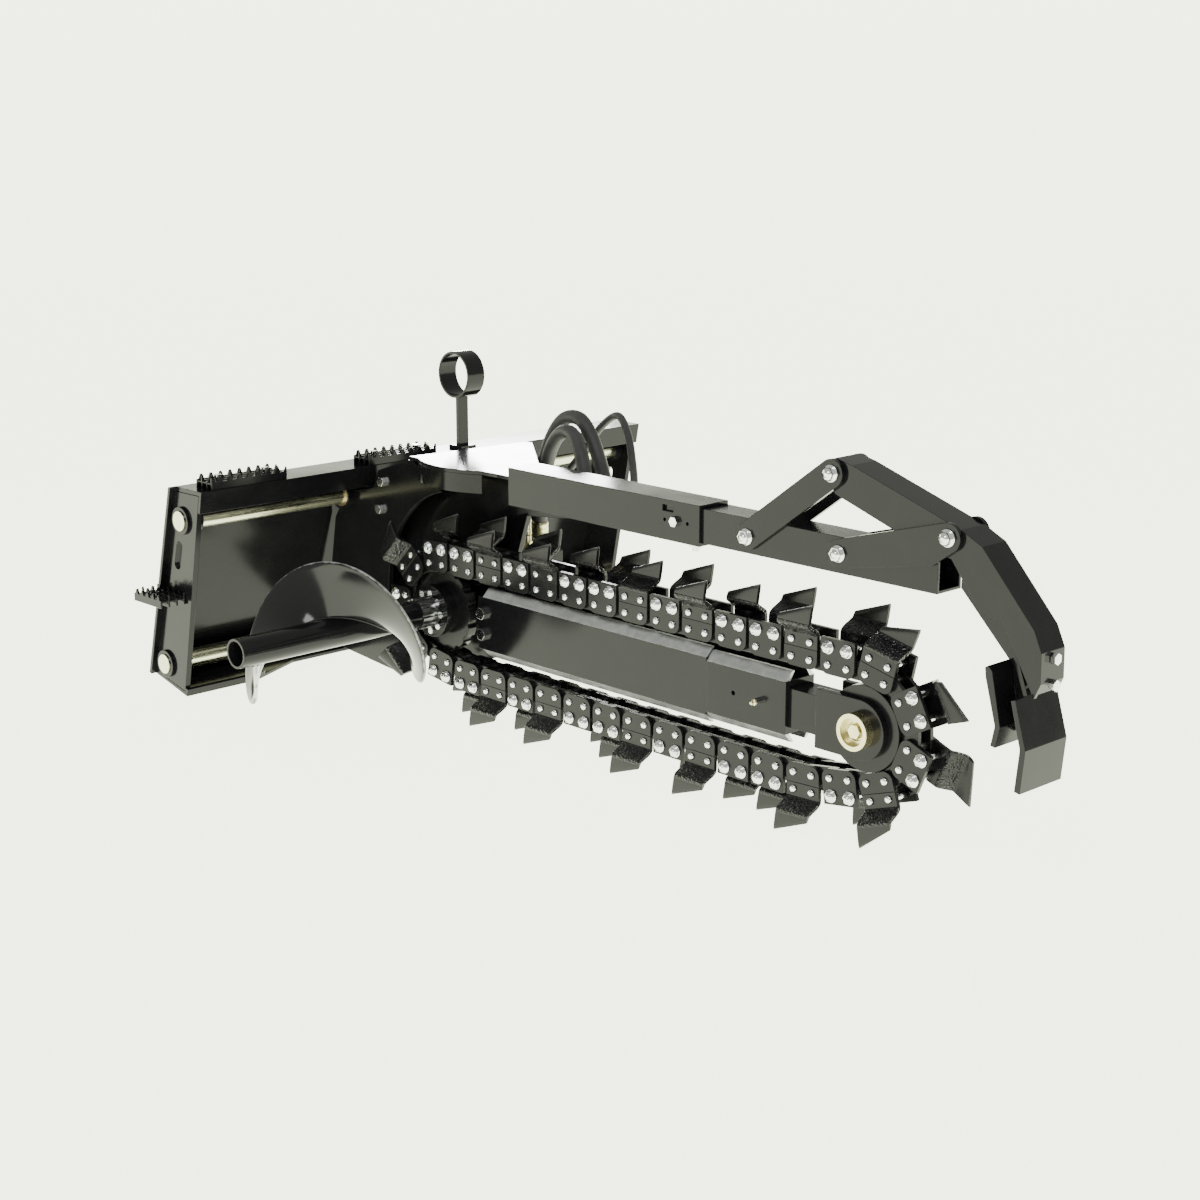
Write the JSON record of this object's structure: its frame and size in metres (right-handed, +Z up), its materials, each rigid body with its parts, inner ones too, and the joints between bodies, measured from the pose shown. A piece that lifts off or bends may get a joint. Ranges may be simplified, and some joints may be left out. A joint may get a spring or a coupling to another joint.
{
  "type": "chain trencher attachment",
  "caption": "Side-shift chain trencher attachment: quick-attach frame, sliding headstock, boom with digging chain, spoil auger and folding crumber.",
  "frame": {"origin": "centre of the back face of the quick-attach plate", "axes": "+X along the boom towards its tip, +Y towards the far end of the mounting frame, +Z up"},
  "size_m": [2.0996, 1.47, 0.6995],
  "materials": {
    "black_paint": "gloss black paint",
    "chain_black": "semi-gloss black paint on chain steel",
    "cutter_steel": "black paint over rough hard-faced steel",
    "zinc_rod": "pale yellow zinc plated ground rod",
    "yellow_zinc": "yellow zinc plate",
    "bright_fasteners": "bright zinc fasteners",
    "hose_rubber": "matte hydraulic hose rubber",
    "worn_steel": "chain-polished wear rails",
    "machined_steel": "machined steel",
    "bush_bronze": "bronze bush"
  },
  "bodies": {
    "frame": {"back_plate": "black_paint", "top_rail": "black_paint", "bottom_rail": "black_paint", "end_plates": "black_paint", "upper_rod": "zinc_rod", "lower_rod": "zinc_rod", "rod_collars": "black_paint", "top_steps": "black_paint", "side_steps": "black_paint", "step_bolts": "bright_fasteners", "hose_holder": "black_paint"},
    "headstock": {"headstock_near_plate": "black_paint", "headstock_drive_plate": "black_paint", "headstock_far_plate": "black_paint", "headstock_cover": "black_paint", "front_guard": "black_paint", "upper_guide": "black_paint", "lower_guide": "black_paint", "guide_bushes": "bush_bronze", "shift_lock": "bright_fasteners", "headstock_bolts": "bright_fasteners", "bearing_housing": "black_paint", "hydraulic_motor": "black_paint", "motor_fittings": "yellow_zinc", "crumber_bracket": "black_paint", "pressure_hose": "hose_rubber", "return_hose": "hose_rubber", "drain_hose": "hose_rubber", "boom_beam": "black_paint", "boom_foot": "black_paint", "beam_rails": "worn_steel", "boom_sleeve": "black_paint", "sleeve_rails": "worn_steel", "boom_bolts": "bright_fasteners", "chain_outer_plates": "chain_black", "chain_inner_plates": "chain_black", "chain_rollers": "machined_steel", "chain_pins": "bright_fasteners", "cutter_bolts": "bright_fasteners", "near_cutters": "cutter_steel", "far_cutters": "cutter_steel", "crumber_tube": "black_paint", "crumber_lock": "bright_fasteners"},
    "auger_drive": {"drive_shaft": "machined_steel", "drive_hub": "black_paint", "hub_bolts": "bright_fasteners", "drive_sprocket": "chain_black", "auger_tube": "black_paint", "auger_flight": "black_paint"},
    "boom_nose": {"boom_slide": "black_paint", "tip_yoke": "black_paint", "tip_axle": "yellow_zinc"},
    "idler": {"idler_wheel": "chain_black"},
    "crumber_bar": {"crumber_slide": "black_paint", "crumber_bolts": "bright_fasteners"},
    "rear_links": {"crumber_rear_links": "black_paint"},
    "front_links": {"crumber_front_links": "black_paint"},
    "crumber_foot": {"crumber_arm": "black_paint", "crumber_shoe": "black_paint", "shoe_bolts": "bright_fasteners"}
  },
  "joints": [
    {"name": "side_shift", "type": "slide", "parent": "frame", "child": "headstock", "axis": [0, 1, 0], "range_m": [-0.12, 0.12]},
    {"name": "auger_spin", "type": "hinge", "parent": "headstock", "child": "auger_drive", "pos_m": [0.475, -0.244, -0.0404], "axis": [0, 1, 0], "continuous": true},
    {"name": "chain_tension", "type": "slide", "parent": "headstock", "child": "boom_nose", "axis": [1, 0, 0], "range_m": [-0.03, 0]},
    {"name": "idler_spin", "type": "hinge", "parent": "boom_nose", "child": "idler", "pos_m": [1.633, -0.244, -0.0364], "axis": [0, 1, 0], "continuous": true},
    {"name": "crumber_extend", "type": "slide", "parent": "headstock", "child": "crumber_bar", "axis": [1, 0, 0], "range_m": [-0.02, 0.1]},
    {"name": "crumber_fold", "type": "hinge", "parent": "crumber_bar", "child": "front_links", "pos_m": [1.575, -0.244, 0.264], "axis": [0, -1, 0], "range_deg": [0, 30]},
    {"name": "rear_link_swing", "type": "hinge", "parent": "crumber_bar", "child": "rear_links", "pos_m": [1.363, -0.244, 0.26], "axis": [0, -1, 0], "range_deg": [0, 23]},
    {"name": "foot_swing", "type": "hinge", "parent": "front_links", "child": "crumber_foot", "pos_m": [1.80327, -0.244, 0.32773], "axis": [0, -1, 0], "range_deg": [-21, 0]}
  ],
  "couplings": [
    {"joint": "idler_spin", "follows": "auger_spin", "ratio": 1.0412},
    {"joint": "rear_link_swing", "follows": "crumber_fold", "ratio": 0.757},
    {"joint": "foot_swing", "follows": "crumber_fold", "ratio": -0.6727}
  ]
}
